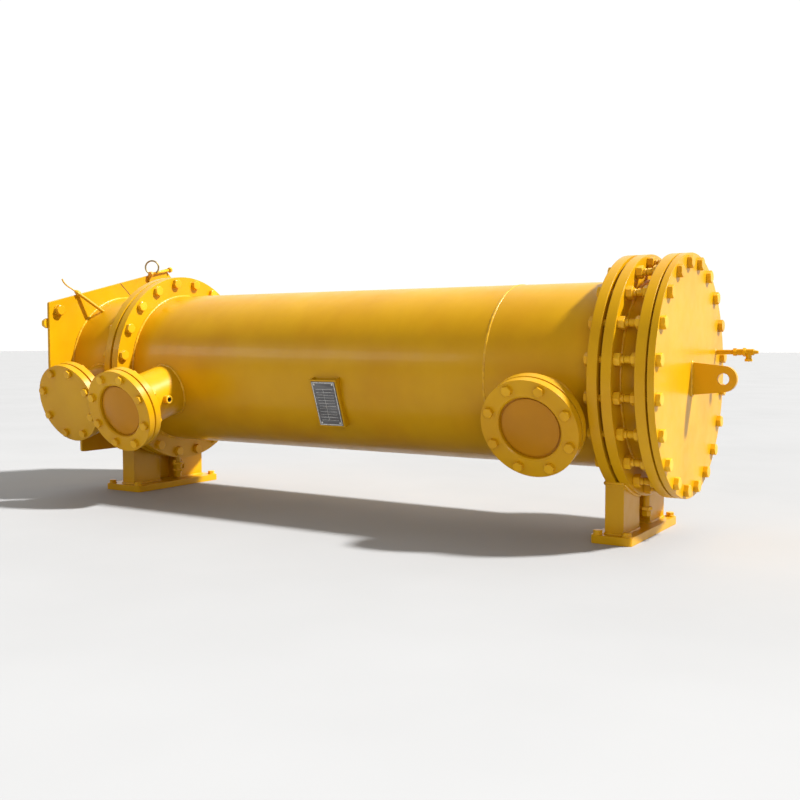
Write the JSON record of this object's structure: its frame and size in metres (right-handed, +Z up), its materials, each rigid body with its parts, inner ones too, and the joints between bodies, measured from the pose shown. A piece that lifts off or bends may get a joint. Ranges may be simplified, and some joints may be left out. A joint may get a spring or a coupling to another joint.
{
  "type": "horizontal shell and tube heat exchanger",
  "caption": "Horizontal shell and tube heat exchanger: long round shell, bolted end channels, three flanged side nozzles, lifting lug, and two welded supports with base plates.",
  "frame": {"origin": "on the floor, at the middle of the left support's base plate, straight below the shell's axis", "axes": "+X along the shell towards the flat bolted cover, -Y the side the nozzles point to, +Z up"},
  "size_m": [2.2442, 0.8345, 0.8358],
  "materials": {
    "yellow_paint": "glossy",
    "gasket": "matte",
    "dark_steel": "satin",
    "nameplate": "satin",
    "wire": "satin"
  },
  "bodies": {
    "root": {"air_tube": "yellow_paint", "channel_nozzle_blind_flange": "yellow_paint", "channel_nozzle_flange": "yellow_paint", "channel_nozzle_gasket": "gasket", "channel_nozzle_neck": "yellow_paint", "cover_gasket": "gasket", "cover_lug": "yellow_paint", "cover_plate": "yellow_paint", "end_plate": "yellow_paint", "end_plate_tab": "yellow_paint", "inlet_blanking_disc": "yellow_paint", "inlet_counter_flange": "yellow_paint", "inlet_flange": "yellow_paint", "inlet_gasket": "gasket", "inlet_neck": "yellow_paint", "left_base_plate": "yellow_paint", "left_channel_barrel": "yellow_paint", "left_channel_flange": "yellow_paint", "left_drain_pipe": "yellow_paint", "left_drain_valve": "yellow_paint", "left_front_leg": "yellow_paint", "left_leg_web": "yellow_paint", "left_rear_leg": "yellow_paint", "left_shell_flange": "yellow_paint", "left_tubesheet": "dark_steel", "nameplate": "nameplate", "nameplate_bracket": "yellow_paint", "outlet_blanking_disc": "yellow_paint", "outlet_counter_flange": "yellow_paint", "outlet_flange": "yellow_paint", "outlet_gasket": "gasket", "outlet_neck": "yellow_paint", "right_base_plate": "yellow_paint", "right_channel_barrel": "yellow_paint", "right_channel_inner_flange": "yellow_paint", "right_channel_outer_flange": "yellow_paint", "right_drain_pipe": "yellow_paint", "right_front_leg": "yellow_paint", "right_leg_web": "yellow_paint", "right_rear_leg": "yellow_paint", "right_shell_flange": "yellow_paint", "right_tubesheet": "dark_steel", "shell": "yellow_paint", "threaded_socket": "yellow_paint", "vent_pipe": "yellow_paint", "vent_valve": "yellow_paint", "wire_ring": "wire"}
  },
  "joints": []
}
